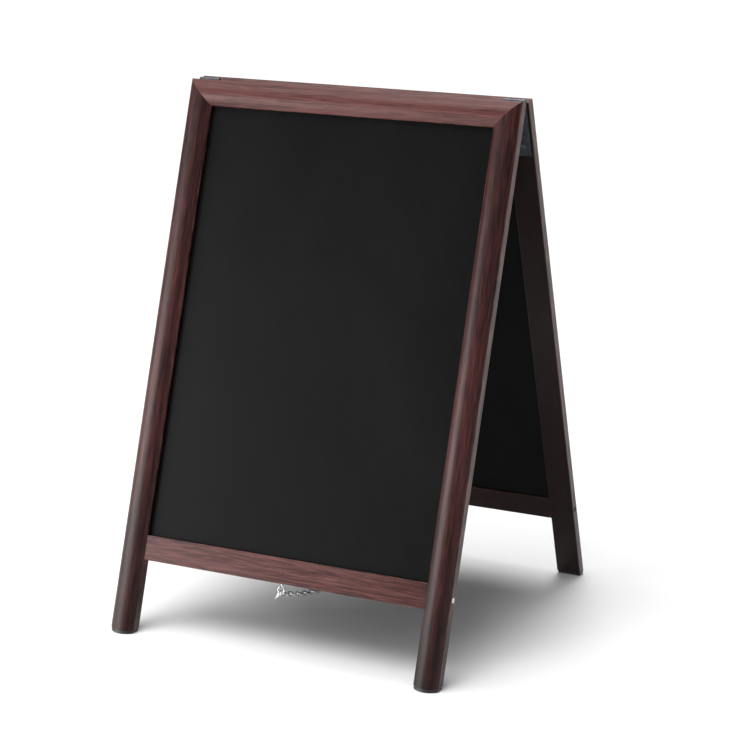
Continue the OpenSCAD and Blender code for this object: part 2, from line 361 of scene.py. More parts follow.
def wood_grain(tree, place, seed):
    """The grain's maps, each about 0 to 1: late wood, tone, fibres and pores. It runs along z."""
    local = stretched(tree, place, (1, 1, 1), (0.013 * seed, 0.007 * seed, 0.91 * seed))
    wander = noise(tree, stretched(tree, local, (14, 14, 2.2)), detail=3)
    round_pith = stretched(tree, place, (1, 1, 0.03), PITH)
    distance = add(tree, "ShaderNodeVectorMath", [(0, round_pith)], operation="LENGTH")
    phase = maths(tree, "MULTIPLY", distance.outputs["Value"], RINGS_PER_METRE)
    phase = maths(tree, "FRACT", maths(tree, "MULTIPLY_ADD", wander, RING_WANDER, phase))
    rising = ranged(tree, phase, 0.35, 0.86)
    falling = ranged(tree, phase, 1.0, 0.90)
    streaks = noise(tree, stretched(tree, local, (170, 170, 5)), detail=4, roughness=0.6)
    clouds = noise(tree, stretched(tree, local, (26, 26, 4)), detail=2)
    flecks = noise(tree, stretched(tree, local, (480, 480, 26)), detail=3, roughness=0.6)
    tone = maths(tree, "ADD", ranged(tree, streaks, 0.34, 0.66), ranged(tree, clouds, 0.3, 0.7))
    tone = maths(tree, "MULTIPLY_ADD", ranged(tree, flecks, 0.33, 0.67), 1.5, tone)
    fibres = noise(tree, stretched(tree, local, (1500, 1500, 34)), detail=4, roughness=0.65)
    pores = ranged(tree, noise(tree, stretched(tree, local, (2300, 2300, 60))), 0.60, 0.70)
    late_wood = maths(tree, "MULTIPLY", rising, falling)
    return late_wood, maths(tree, "MULTIPLY", tone, 0.29), fibres, pores


def stain_colour(tree, grain, stain_and_sheen):
    """The stain on the grain, deeper in late wood, between fibres and in pores; its shift for each
    member is partly the stain and partly painted sheen.
    """
    late_wood, tone, fibres, pores = grain
    # The shift added here is partly the member's stain and partly painted sheen.
    stain = maths(tree, "ADD", tone, stain_and_sheen, clamp=True)
    colour = blend(tree, ranged(tree, stain, 0.0, 0.5), DARK_STAIN_AND_SHADE, RED_STAIN)
    colour = blend(tree, ranged(tree, stain, 0.45, 1.0), colour, PALE_STAIN_AND_SHEEN)
    colour = blend(tree, maths(tree, "MULTIPLY", late_wood, LATE_WOOD_DEPTH), colour, DARK_STAIN_AND_SHADE)
    colour = blend(tree, ranged(tree, fibres, 0.35, 0.62, FIBRE_DEPTH, 0.0), colour, DARK_STAIN_AND_SHADE)
    return blend(tree, maths(tree, "MULTIPLY", pores, PORE_DEPTH), colour, DARK_STAIN_AND_SHADE)


def worn_edges(tree, place, across, half_width, colour):
    """Rubs the stain thin in patches along both long edges."""
    from_middle = maths(tree, "ABSOLUTE", across)
    edge = ranged(tree, from_middle, half_width - 1.3 * MM, half_width - 0.2 * MM)
    patches = noise(tree, stretched(tree, place, (120, 120, 30)), detail=3)
    wear = maths(tree, "MULTIPLY", edge, ranged(tree, patches, 0.42, 0.66, 0.0, WEAR_DEPTH))
    return blend(tree, wear, colour, WORN_EDGE)


def mitre_line(tree, across, along, seam, colour):
    """A pale line where two mitres meet."""
    slope, height = seam
    reach = maths(tree, "MULTIPLY_ADD", across, -slope, maths(tree, "ABSOLUTE", along))
    line = ranged(tree, reach, height - 1.1 * MM, height - 0.3 * MM, 0.0, SEAM_DEPTH)
    return blend(tree, line, colour, WORN_EDGE)


def filled_hole(tree, place, x, z, colour):
    """A dark spot on a small filled pin hole."""
    inputs = [(0, place), (1, (x, 0, z))]
    offset = add(tree, "ShaderNodeVectorMath", inputs, operation="SUBTRACT").outputs[0]
    flat = stretched(tree, offset, (1, 0, 1))
    away = add(tree, "ShaderNodeVectorMath", [(0, flat)], operation="LENGTH").outputs["Value"]
    spot = ranged(tree, away, 0.6 * MM, 1.7 * MM, HOLE_DEPTH, 0.0)
    return blend(tree, spot, colour, DARK_STAIN_AND_SHADE)


def stained_wood(name, matrix, seed, stain_and_sheen, half_width, low_darkening=0.0, seam=None, marks=()):
    """Satin mahogany stain. The grain runs along the piece's z axis, and half_width is half its x.

    stain_and_sheen moves the stain from dark to pale. It is partly the member's stain and partly
    painted sheen, which makes the rails paler than the stiles.
    low_darkening makes a leg darker towards the floor, and the inner face is darkened as painted
    shade.
    seam is the slope and the height of a mitre. marks are the (x, z) places of small filled pin
    holes.
    """
    material, tree, shader, place = new_material(name, matrix)
    grain = wood_grain(tree, place, seed)
    late_wood, _, fibres, pores = grain
    across, outwards, along = add(tree, "ShaderNodeSeparateXYZ", [(0, place)]).outputs
    colour = stain_colour(tree, grain, stain_and_sheen)
    colour = worn_edges(tree, place, across, half_width, colour)
    if seam:
        colour = mitre_line(tree, across, along, seam, colour)
    for x, z in marks:
        colour = filled_hole(tree, place, x, z, colour)
    # Painted shade: the inner face, which lies in shade between the two halves, is darkened towards
    # the dark stain colour.
    painted_inner_shade = ranged(tree, outwards, -0.8 * MM, -0.2 * MM, 0.0, INNER_FACE_PAINTED_SHADE)
    colour = blend(tree, painted_inner_shade, colour, DARK_STAIN_AND_SHADE)
    # Darker towards the floor.
    if low_darkening:
        low = ranged(tree, along, 0.0, LOW_DARKENING_UP_TO, low_darkening, 0.0)
        colour = blend(tree, low, colour, DARK_STAIN_AND_SHADE)

    gloss = maths(tree, "MULTIPLY_ADD", pores, 0.12, ranged(tree, fibres, 0.3, 0.7, 0.34, 0.44))
    relief = maths(tree, "MULTIPLY_ADD", pores, -0.8, fibres)
    relief = maths(tree, "MULTIPLY_ADD", late_wood, 0.35, relief)
    dress(tree, shader, colour, gloss, bump(tree, relief, WOOD_RELIEF, 0.7))
    shader.inputs["Specular IOR Level"].default_value = WOOD_SPECULAR
    shader.inputs["Coat Weight"].default_value = WOOD_COAT
    shader.inputs["Coat Roughness"].default_value = WOOD_COAT_ROUGHNESS
    return material


BEECH_DARK = (0.52, 0.34, 0.19)
BEECH_PALE = (0.66, 0.48, 0.30)
BEECH_FLECK = (0.36, 0.20, 0.10)


def bare_beech():
    material, tree, shader, place = new_material("bare_beech")
    streaks = noise(tree, stretched(tree, place, (60, 400, 400)), detail=4)
    flecks = ranged(tree, noise(tree, stretched(tree, place, (500, 2500, 2500))), 0.58, 0.68)
    colour = blend(tree, streaks, BEECH_DARK, BEECH_PALE)
    colour = blend(tree, maths(tree, "MULTIPLY", flecks, 0.5), colour, BEECH_FLECK)
    roughness = ranged(tree, streaks, 0.3, 0.7, 0.55, 0.7)
    dress(tree, shader, colour, roughness, bump(tree, flecks, 0.05 * MM))
    return material


BOARD_PAINT = (0.0028, 0.0029, 0.0030)
CHALK_HAZE = (0.0060, 0.0062, 0.0064)
WIPE_ANGLE = radians(32)
BOARD_SPECULAR = 0.09


def chalkboard_black(name, seed):
    """Matt black paint with an old haze of wiped chalk and a fine grain."""
    material, tree, shader, place = new_material(name)
    local = stretched(tree, place, (1, 1, 1), (seed, 0, 2.3 * seed))
    haze = noise(tree, stretched(tree, local, (5, 5, 3.2)), detail=3, distortion=0.6)
    turned = add(tree, "ShaderNodeVectorRotate", [("Vector", local), ("Angle", WIPE_ANGLE)])
    turned.rotation_type = "Y_AXIS"
    wipes = noise(tree, stretched(tree, turned.outputs[0], (90, 1, 6)), detail=4, roughness=0.6)
    grain = noise(tree, stretched(tree, local, (1900, 1900, 1900)), detail=2)
    wiped = ranged(tree, wipes, 0.3, 0.7)
    dust = maths(tree, "MULTIPLY_ADD", wiped, 0.35, ranged(tree, haze, 0.3, 0.7))
    colour = blend(tree, maths(tree, "MULTIPLY", dust, 0.6), BOARD_PAINT, CHALK_HAZE)
    gloss = maths(tree, "MULTIPLY_ADD", dust, 0.04, ranged(tree, grain, 0.3, 0.7, 0.42, 0.49))
    relief = maths(tree, "MULTIPLY_ADD", wipes, 0.15, grain)
    dress(tree, shader, colour, gloss, bump(tree, relief, 0.03 * MM, 0.6))
    shader.inputs["Specular IOR Level"].default_value = BOARD_SPECULAR
    return material


PLASTIC_BLACK = (0.022, 0.022, 0.024)
PLASTIC_SCUFF = (0.075, 0.074, 0.072)


def black_plastic():
    """Moulded polypropylene with a spark-eroded grain and scuffs."""
    material, tree, shader, place = new_material("moulded_black_plastic")
    grain = noise(tree, place, 2600.0, detail=2)
    rubbed = noise(tree, stretched(tree, place, (300, 300, 900)), detail=3)
    scuffs = ranged(tree, rubbed, 0.52, 0.66)
    colour = blend(tree, maths(tree, "MULTIPLY", scuffs, 0.5), PLASTIC_BLACK, PLASTIC_SCUFF)
    gloss = maths(tree, "MULTIPLY_ADD", scuffs, 0.15, ranged(tree, grain, 0.3, 0.7, 0.34, 0.44))
    dress(tree, shader, colour, gloss, bump(tree, grain, 0.05 * MM, 0.6))
    return material


STEEL_SPOT_SHARE = 0.35
STEEL_SPOT_TONE = 0.45


def steel(name, bright, dull, brushed, gloss):
    """Plated steel: tones vary between bright and dull, and brushed is the scale of its marks."""
    material, tree, shader, place = new_material(name)
    clouds = noise(tree, place, 70.0, detail=4, roughness=0.6)
    marks = noise(tree, stretched(tree, place, brushed), detail=3)
    spots = ranged(tree, noise(tree, place, 900.0, detail=2), 0.62, 0.72)
    spot_colour = tuple(part * STEEL_SPOT_TONE for part in dull)
    colour = blend(tree, ranged(tree, clouds, 0.35, 0.65), bright, dull)
    colour = blend(tree, maths(tree, "MULTIPLY", spots, STEEL_SPOT_SHARE), colour, spot_colour)
    rough = ranged(tree, marks, 0.3, 0.7, gloss - 0.06, gloss + 0.08)
    rough = maths(tree, "MULTIPLY_ADD", spots, 0.15, rough)
    dress(tree, shader, colour, rough, bump(tree, marks, 0.012 * MM, 0.6))
    shader.inputs["Metallic"].default_value = 1.0
    return material


FLOOR_DULL = (0.89, 0.89, 0.89)
FLOOR_BRIGHT = (0.92, 0.92, 0.92)


def floor_white():
    material, tree, shader, place = new_material("studio_floor")
    tone = noise(tree, place, 1.3, detail=2)
    colour = blend(tree, tone, FLOOR_DULL, FLOOR_BRIGHT)
    dress(tree, shader, colour, 0.85)
    return material


BEECH = bare_beech()
PLASTIC = black_plastic()
CHAIN_STEEL = steel(
    "bright_zinc",
    bright=(0.80, 0.81, 0.83),
    dull=(0.56, 0.58, 0.61),
    brushed=(300, 300, 300),
    gloss=0.20,
)
HINGE_STEEL = steel(
    "blued_steel",
    bright=(0.165, 0.190, 0.205),
    dull=(0.090, 0.106, 0.117),
    brushed=(2200, 2200, 60),
    gloss=0.46,
)
SCREW_STEEL = steel(
    "screw_zinc",
    bright=(0.78, 0.77, 0.74),
    dull=(0.52, 0.51, 0.49),
    brushed=(900, 900, 900),
    gloss=0.28,
)


# ---- Wood ----
BACK_ROUND = 1.1 * MM
FACE_ROUND = 1.8 * MM
MITRE_EASE = 0.22 * MM
RING_STEP = 40 * MM
RAIL_EASE = 1 * MM
FRAME_AXIS = Matrix.Rotation(-pi / 2, 4, "Y")
PIN_MARKS = [(5 * MM, -4 * MM), (-3 * MM, -3 * MM)]
# Each member's stain shift is partly real stain and partly painted sheen: the rails, whose grain
# runs across the board, are painted paler for the light their fibres catch, the top rail most.
STILE_STAIN_AND_SHEEN = -0.18
TOP_RAIL_STAIN_AND_SHEEN = 0.42
BOTTOM_RAIL_STAIN_AND_SHEEN = 0.12
LEG_LOW_DARKENING = 0.4
STILE_HOLDS = (
    "chalkboard",
    "mitre_keys",
    "rail_dowels",
    "rail_screws",
    "pad_nails",
    "hinge_screws",
)
TOP_RAIL_HOLDS = ("chalkboard", "mitre_keys")
BOTTOM_RAIL_HOLDS = ("chalkboard", "rail_dowels", "rail_screws", "screw_eye")


def moulding_outline(inset=0.0):
    """The moulding's cross section, drawn in by inset: flat back, two sides and a rounded face."""
    half = STILE_W / 2 - inset
    back = BACK_ROUND - inset / 2
    ease = FACE_ROUND - inset / 2
    radius = CROWN_R - inset
    middle = CROWN_R - EDGE_T - CROWN
    drop = middle - math.sqrt((radius - ease) ** 2 - (half - ease) ** 2)
    angle = math.atan2(drop - middle, half - ease)
    points = arc((half - back, -inset - back), back, pi / 2, 0, 3)
    points += arc((half - ease, drop), ease, 0, angle, 3)
    points += arc((0, middle), radius, angle, -pi - angle, 18)[1:-1]
    points += arc((ease - half, drop), ease, -pi - angle, -pi, 3)
    points += arc((back - half, -inset - back), back, pi, pi / 2, 3)
    return points


def board_outline(half, near, far, ease, inset=0.0):
    """A rectangle with rounded corners: x from -half to half, y from -far to -near."""
    half, near, far, ease = half - inset, near + inset, far - inset, ease - inset / 2
    corners = [(half, -near, pi / 2), (half, -far, 0), (-half, -far, -pi / 2), (-half, -near, pi)]
    points = []
    for x, y, start in corners:
        centre = (x - math.copysign(ease, x), y + (ease if y == -far else -ease))
        points += arc(centre, ease, start, start - pi / 2, 3)
    return points


def member(outline, low_end, high_end, ease):
    """A length of timber along z. The ends are functions that give each point's height."""
    full = outline(0.0)
    drawn_in = outline(ease)
    lows = [low_end(x, y) for x, y in full]
    highs = [high_end(x, y) for x, y in full]
    steps = max(2, round((max(highs) - min(lows)) / RING_STEP))
    rings = [[(x, y, low_end(x, y)) for x, y in drawn_in]]
    for i in range(steps + 1):
        share = i / steps
        ring = []
        for (x, y), low, high in zip(full, lows, highs):
            ring.append((x, y, (low + ease) * (1 - share) + (high - ease) * share))
        rings.append(ring)
    rings.append([(x, y, high_end(x, y)) for x, y in drawn_in])
    bm = bmesh.new()
    loft(bm, rings)
    return bm


def stile_mesh(name, side):
    def foot(x, y):
        return up_frame(-y, PAD_T)

    def mitre(x, y):
        return PANEL_LEN - STILE_W / 2 + side * x

    return mesh_of(member(moulding_outline, foot, mitre, MITRE_EASE), name)


def top_rail_mesh(name):
    def end(x, y):
        return HALF_W - STILE_W / 2 + x

    bm = member(moulding_outline, lambda x, y: -end(x, y), end, MITRE_EASE)
    return mesh_of(bm, name)


def bottom_rail_mesh(name):
    def outline(inset):
        return board_outline((RAIL_TOP - RAIL_LOW) / 2, 0, EDGE_T, RAIL_EASE, inset)

    bm = member(outline, lambda x, y: -INNER_HALF, lambda x, y: INNER_HALF, MITRE_EASE)
    return mesh_of(bm, name)


def finish_member(end, node, mesh, local, holds, slot, seed, **look):
    """Cuts out of a member what it holds, stains it and puts it in the scene."""
    matrix = PLACES[end] @ local
    mesh = cut(mesh, cad_copy([f"{end}_{held}" for held in holds], matrix))
    material = stained_wood(f"{node}_stain", matrix, seed, **look)
    show(mesh, matrix, f"{end}_frame", [node], material)


def stile(end, hand, side, seed):
    node = f"{end}_{hand}_stile"
    look = {
        "stain_and_sheen": STILE_STAIN_AND_SHEEN,
        "half_width": STILE_W / 2,
        "low_darkening": LEG_LOW_DARKENING,
        "seam": (side, PANEL_LEN - STILE_W / 2),
    }
    local = Matrix.Translation((side * (HALF_W - STILE_W / 2), 0, 0))
    mesh = stile_mesh(f"{node}_wood", side)
    finish_member(end, node, mesh, local, STILE_HOLDS, "stained_wood_stiles", seed, **look)


def top_rail(end, seed):
    node = f"{end}_top_rail"
    look = {
        "stain_and_sheen": TOP_RAIL_STAIN_AND_SHEEN,
        "half_width": STILE_W / 2,
        "seam": (1, HALF_W - STILE_W / 2),
    }
    local = Matrix.Translation((0, 0, PANEL_LEN - STILE_W / 2)) @ FRAME_AXIS
    mesh = top_rail_mesh(f"{node}_wood")
    finish_member(end, node, mesh, local, TOP_RAIL_HOLDS, "stained_wood_rails", seed, **look)


def bottom_rail(end, seed):
    node = f"{end}_bottom_rail"
    look = {
        "stain_and_sheen": BOTTOM_RAIL_STAIN_AND_SHEEN,
        "half_width": (RAIL_TOP - RAIL_LOW) / 2,
        "marks": PIN_MARKS if end == "front" else (),
    }
    local = Matrix.Translation((0, 0, RAIL_MID)) @ FRAME_AXIS
    mesh = bottom_rail_mesh(f"{node}_wood")
    finish_member(end, node, mesh, local, BOTTOM_RAIL_HOLDS, "stained_wood_rails", seed, **look)


def wooden_members(end, seed):
    stile(end, "left", LEFT_SIDE[end], seed)
    stile(end, "right", -LEFT_SIDE[end], seed + 1)
    top_rail(end, seed + 2)
    bottom_rail(end, seed + 3)


def chalkboard(end, seed):
    """The panel, its edges lightly rounded, in the grooves of the frame."""

    def outline(inset):
        return board_outline(BOARD_HALF, BOARD_BACK, BOARD_BACK + BOARD_T, BOARD_EASE, inset)

    bm = bmesh.new()
    prism(bm, outline, RAIL_TOP - GROOVE, PANEL_LEN - STILE_W + GROOVE, BOARD_CHAMFER)
    material = chalkboard_black(f"{end}_board_paint", seed)
    mesh = mesh_of(bm, f"{end}_board_panel")
    node = f"{end}_chalkboard"
    show(mesh, PLACES[end], f"{end}_frame", [node], material)


# ---- Joinery inside the wood ----
KEY_SIZE = (30 * MM, 3.2 * MM, 16 * MM)
KEY_DEPTH = 11 * MM
KEY_EASE = 0.5 * MM
KEY_CHAMFER = 0.4 * MM
DOWEL_R = 3 * MM
DOWEL_LEN = 36 * MM
DOWEL_FLUTES = 10
DOWEL_END = 1.2 * MM
DOWEL_END_SCALE = 0.78
FLUTE_SHAPE = (1.0, 0.97, 0.90, 0.97)


def mitre_key(bm):
    """A thin spline with eased edges, lying along x."""
    long, thick, wide = KEY_SIZE

    def outline(inset):
        return board_outline(long / 2, -thick / 2, thick / 2, KEY_EASE, inset)

    return prism(bm, outline, -wide / 2, wide / 2, KEY_CHAMFER)


def fluted_dowel(bm):
    steps = len(FLUTE_SHAPE)
    sides = DOWEL_FLUTES * steps
    levels = (
        (DOWEL_END_SCALE, 0),
        (1, DOWEL_END),
        (1, DOWEL_LEN - DOWEL_END),
        (DOWEL_END_SCALE, DOWEL_LEN),
    )
    turns = [2 * pi * k / sides for k in range(sides)]
    rings = []
    for share, z in levels:
        radii = [DOWEL_R * share * FLUTE_SHAPE[k % steps] for k in range(sides)]
        rings.append([(r * cos(a), r * sin(a), z) for r, a in zip(radii, turns)])
    return loft(bm, rings)


def joinery(end):
    depth = -KEY_DEPTH - KEY_SIZE[1] / 2
    height = PANEL_LEN - STILE_W / 2
    keys = [
        Matrix.Translation((side * (HALF_W - STILE_W / 2), depth, height))
        @ Matrix.Rotation(-side * pi / 4, 4, "Y")
        for side in SIDES
    ]
    reach = INNER_HALF - DOWEL_LEN / 2
    offset = (RAIL_TOP - RAIL_LOW) / 4
    dowels = [
        Matrix.Translation((side * reach, -EDGE_T / 2, RAIL_MID + up * offset))
        @ Matrix.Rotation(side * pi / 2, 4, "Y")
        for side in SIDES
        for up in (-1, 1)
    ]
    for part, build, places in (
        ("mitre_keys", mitre_key, keys),
        ("rail_dowels", fluted_dowel, dowels),
    ):
        mesh = mesh_of(copies(build, places), f"{end}_{part}_beech")
        body = f"{end}_frame"
        show(mesh, PLACES[end], body, [f"{end}_{part}"], BEECH)


# ---- Screws and nails ----
SCREW_SIDES = 20
STEPS_PER_TURN = 6
CORE_SHARE = 0.72
PLAIN_SHARE = 0.12
RIDGE_HALF = 0.22
TIP_R = 0.12 * MM
HEAD_EDGE = 0.12 * MM
HEAD_ROUND = 0.15 * MM
RECESS_REACH = 0.55
RECESS_SLOT = 0.10


def cross_recess(reach, slot, depth):
    """A cutter for a cross recess that narrows with depth. reach and slot are its arms' size."""

    def star(scale):
        arms = []
        for k in range(4):
            a = pi / 2 * k
            for along, across in ((scale * reach, -slot), (scale * reach, slot), (slot, slot)):
                arms.append((along * cos(a) - across * sin(a), along * sin(a) + across * cos(a)))
        return arms

    bm = bmesh.new()
    levels = ((1.06, -0.2 * MM), (1.0, 0.0), (0.55, depth))
    loft(bm, [[(x, y, z) for x, y in star(scale)] for scale, z in levels])
    return bm


def wood_screw(length, radius, head_radius, pitch):
    """A countersunk screw along +z, its head's face on z = 0, with a helical thread and a cross."""
    core = radius * CORE_SHARE
    head = head_radius - radius
    plain = head + PLAIN_SHARE * length
    point = 3 * radius
    step = pitch / STEPS_PER_TURN
    turns = [2 * pi * k / SCREW_SIDES for k in range(SCREW_SIDES)]

    def thread(z, angle):
        phase = (z / pitch - angle / (2 * pi)) % 1.0
        ridge = max(0.0, 1 - abs(phase - 0.5) / RIDGE_HALF)
        taper = min(1.0, max(0.0, (length - z) / point))
        grown = core + (radius - core) * ridge * min(1.0, (z - plain) / pitch)
        return max(TIP_R, grown * taper**0.8)

    profile = [
        (head_radius - HEAD_ROUND, 0.0),
        (head_radius, HEAD_EDGE),
        (radius, head + HEAD_EDGE),
        (radius, plain - step),
        (core, plain - step / 2),
    ]
    heights = [plain + i * step for i in range(int((length - plain) / step))]
    rings = [[(r * cos(a), r * sin(a), z) for a in turns] for r, z in profile]
    for z in heights:
        rings.append([(thread(z, a) * cos(a), thread(z, a) * sin(a), z) for a in turns])
    bm = bmesh.new()
    loft(bm, rings)
    depth = 0.62 * head + 0.3 * MM
    recess = cross_recess(head_radius * RECESS_REACH, head_radius * RECESS_SLOT, depth)
    return cut(mesh_of(bm, "screw"), recess)


def placed_copies(name, mesh, matrices):
    bm = bmesh.new()
    for matrix in matrices:
        start = len(bm.verts)
        bm.from_mesh(mesh)
        bm.verts.ensure_lookup_table()
        moved(bm, bm.verts[start:], matrix)
    return mesh_of(bm, name)


HINGE_SCREW_DROPS = (33 * MM, 53 * MM, 73 * MM)
HINGE_SCREW_STAGGER = 5 * MM
NAIL_BACK = 10 * MM
NAIL_RECESS = 1.5 * MM
# Radius and height in mm, from the middle of the nail's head to its point
NAIL_PROFILE = (
    (2.3, 0),
    (2.9, 0.25),
    (3.0, 0.7),
    (2.6, 1.2),
    (1.15, 1.25),
    (1, 1.8),
    (1, 18.5),
    (0.1, 22),
)
RAIL_SCREW = wood_screw(length=70 * MM, radius=2 * MM, head_radius=4.2 * MM, pitch=2 * MM)
HINGE_SCREW = wood_screw(length=12 * MM, radius=1.75 * MM, head_radius=3.4 * MM, pitch=1.4 * MM)


def foot_place(side):
    """Level coordinates under a foot, with the floor on z = 0."""
    shift = Matrix.Translation((side * (HALF_W - STILE_W / 2), -NAIL_BACK, 0))
    return Matrix.Rotation(TILT, 4, "X") @ shift


def pad_nail(bm):
    return revolve(bm, [(r * MM, NAIL_RECESS + z * MM) for r, z in NAIL_PROFILE], 24)


def rail_screw_place(side):
    """Where a long screw lies, its head on the stile's outer side."""
    return (
        Matrix.Translation((side * HALF_W, -EDGE_T / 2, RAIL_MID))
        @ Matrix.Rotation(-side * pi / 2, 4, "Y")
        @ Matrix.Rotation(0.4 + side, 4, "Z")
    )


def hinge_screw_place(side, i):
    """Where the strap's screw number i lies, alternately left and right of its middle."""
    x = side * (HINGE_X + (-1) ** i * HINGE_SCREW_STAGGER)
    return (
        Matrix.Translation((x, STRAP_T, PIN_S - HINGE_SCREW_DROPS[i]))
        @ Matrix.Rotation(pi / 2, 4, "X")
        @ Matrix.Rotation(0.7 * i + side, 4, "Z")
    )


def fasteners(end):
    rail_places = [rail_screw_place(side) for side in SIDES]
    count = len(HINGE_SCREW_DROPS)
    hinge_places = [hinge_screw_place(side, i) for side in SIDES for i in range(count)]
    nails = mesh_of(copies(pad_nail, [foot_place(side) for side in SIDES]), f"{end}_nails")
    meshes = [
        (placed_copies(f"{end}_long_screws", RAIL_SCREW, rail_places), f"{end}_rail_screws"),
        (placed_copies(f"{end}_strap_screws", HINGE_SCREW, hinge_places), f"{end}_hinge_screws"),
        (nails, f"{end}_pad_nails"),
    ]
    body = f"{end}_frame"
    for mesh, node in meshes:
        show(mesh, PLACES[end], body, [node], SCREW_STEEL, sharp=50)


# ---- Feet ----
PAD_ROUND = 0.9 * MM
PAD_TOP_EASE = 0.4 * MM
# Radius and height in mm of the nail's sunk hole, from below the floor to above the pad
PAD_HOLE = ((3.4, -1), (3.4, 0), (3.05, 0.5), (3.05, 2.7), (1.05, 2.75), (1.05, 7))


def pad_ring(inset, height):
    return [(x, y, up_frame(-y, height)) for x, y in moulding_outline(PAD_INSET + inset)]


def foot_pads(end):
    """A moulded pad under each leg, its lower edge rounded, with a sunk hole for its nail."""
    turns = [pi / 2 * k / 4 for k in range(5)]
    levels = [(PAD_ROUND * (1 - sin(a)), PAD_ROUND * (1 - cos(a))) for a in turns]
    levels += [(0.0, PAD_T - PAD_TOP_EASE), (PAD_TOP_EASE, PAD_T)]
    for side in SIDES:
        hand = "left" if side == LEFT_SIDE[end] else "right"
        centre = Matrix.Translation((side * (HALF_W - STILE_W / 2), 0, 0))
        bm = bmesh.new()
        loft(bm, [pad_ring(inset, height) for inset, height in levels])
        hole = bmesh.new()
        made = revolve(hole, [(r * MM, z * MM) for r, z in PAD_HOLE], 32)
        moved(hole, made, foot_place(side))
        moved(hole, hole.verts, centre.inverted())
        mesh = cut(mesh_of(bm, f"{end}_{hand}_pad"), hole)
        matrix = PLACES[end] @ centre
        node = f"{end}_foot_pads"
        show(mesh, matrix, f"{end}_frame", [node], PLASTIC)


# ---- Screw eyes ----
EYE_BEND = 3 * MM
EYE_SHANK_TOP = 24 * MM
EYE_THREAD_FROM = 12 * MM
EYE_PITCH = 1.3 * MM
EYE_CORE = 0.78
EYE_TIP = 4 * MM
EYE_GAP_AT = radians(116)


def screw_eye(end):
    """One wire: a threaded shank that bends into a ring, which stops just short of the neck."""
    neck = math.sqrt(EYE_R**2 + 2 * EYE_BEND * EYE_R)
    meet = math.atan2(neck, EYE_BEND)
    step = EYE_PITCH / 6
    shank = [(0, EYE_SHANK_TOP - i * step) for i in range(int((EYE_SHANK_TOP - neck) / step))]
    bend = arc((EYE_BEND, neck), EYE_BEND, pi, pi + meet, 8)
    ring = arc((0, 0), EYE_R, meet, EYE_GAP_AT - 2 * pi, 56)[1:]
    flat = shank + bend + ring
    last = len(flat) - 1
    heights = [z for x, z in flat]

    def radius(i, angle):
        thick = EYE_WIRE / 2
        if i < len(shank) and heights[i] > EYE_THREAD_FROM:
            phase = (heights[i] / EYE_PITCH + angle / (2 * pi)) % 1.0
            thick *= EYE_CORE + (1 - EYE_CORE) * max(0.0, 1 - abs(phase - 0.5) / 0.25)
            thick *= min(1.0, 0.15 + (EYE_SHANK_TOP - heights[i]) / EYE_TIP)
        near_end = min(1.0, (last - i + 0.35) / 2)
        return thick * math.sqrt(1 - (1 - near_end) ** 2)

    bm = bmesh.new()
    centre = Vector((0, -EDGE_T / 2, RAIL_LOW - EYE_DROP))
    path = [centre + Vector((x, 0, z)) for x, z in flat]
    wire(bm, path, Vector((0, 1, 0)), radius, 16)
    mesh = mesh_of(bm, f"{end}_eye_wire")
    body = f"{end}_frame"
    show(mesh, PLACES[end], body, [f"{end}_screw_eye"], CHAIN_STEEL, 60)


# ---- Hinges ----
CURL_END = radians(-112)
KNUCKLE_GAP = 0.25 * MM
NOTCH_CLEAR = 0.4 * MM
STRAP_EASE = 0.22 * MM
# Radius and depth of the countersunk hole that a screw's head sits in
COUNTERSINK = (
    (3.6 * MM, -0.15 * MM),
    (3.45 * MM, 0),
    (1.8 * MM, 1.65 * MM),
    (1.8 * MM, 4 * MM),
)
# Radius and height in mm of the pin's domed head, beyond the strap's edge
PIN_DOME = ((0.4, 0.6), (1.3, 0.55), (1.9, 0.35), (2.2, 0.08), (2.15, 0), (1.5, 0))


def strap_section():
    """Outline of a strap seen along its pin: a flat plate whose top end curls round the pin."""
    outer = arc((BARREL_R, PIN_S), BARREL_R, pi, CURL_END, 30)
    inner = arc((BARREL_R, PIN_S), PIN_R, CURL_END, pi, 30)
    low = PIN_S - STRAP_LEN
    return [(0, low), *outer, *inner, (STRAP_T, low)]


def barrel_cutter(bm, low, high, radius):
    """A cylinder along the pin's axis from x = low to x = high."""
    turned = Matrix.Translation((0, BARREL_R, PIN_S)) @ Matrix.Rotation(pi / 2, 4, "Y")
    moved(bm, revolve(bm, [(radius, low), (radius, high)], 64), turned)


def strap(end, side, hand):
    half, middle = STRAP_W / 2, STRAP_W / 6
    bm = bmesh.new()
    section = strap_section()
    loft(bm, [[(x, y, z) for y, z in section] for x in (-half, -middle, middle, half)])
    corners = [edge for edge in bm.edges if edge.calc_face_angle() > radians(50)]
    bmesh.ops.bevel(bm, geom=corners, offset=STRAP_EASE, segments=2, profile=0.5, affect="EDGES")
    plate = mesh_of(bm, f"{hand}_{end}_strap")
    tools = bmesh.new()
    if end == "front":
        reach = middle + KNUCKLE_GAP
        barrel_cutter(tools, -reach, reach, BARREL_R + NOTCH_CLEAR)
    else:
        for low, high in ((-half - MM, -middle), (middle, half + MM)):
            barrel_cutter(tools, low, high, BARREL_R + NOTCH_CLEAR)
    for i, drop in enumerate(HINGE_SCREW_DROPS):
        x = side * (-1) ** i * HINGE_SCREW_STAGGER
        place = Matrix.Translation((x, STRAP_T, PIN_S - drop)) @ Matrix.Rotation(pi / 2, 4, "X")
        moved(tools, revolve(tools, COUNTERSINK, 40), place)
    plate = cut(plate, tools)
    matrix = PLACES[end] @ Matrix.Translation((side * HINGE_X, 0, 0))
    node = f"{hand}_hinge_{end}_strap"
    show(plate, matrix, f"{end}_frame", [node], HINGE_STEEL, 40)


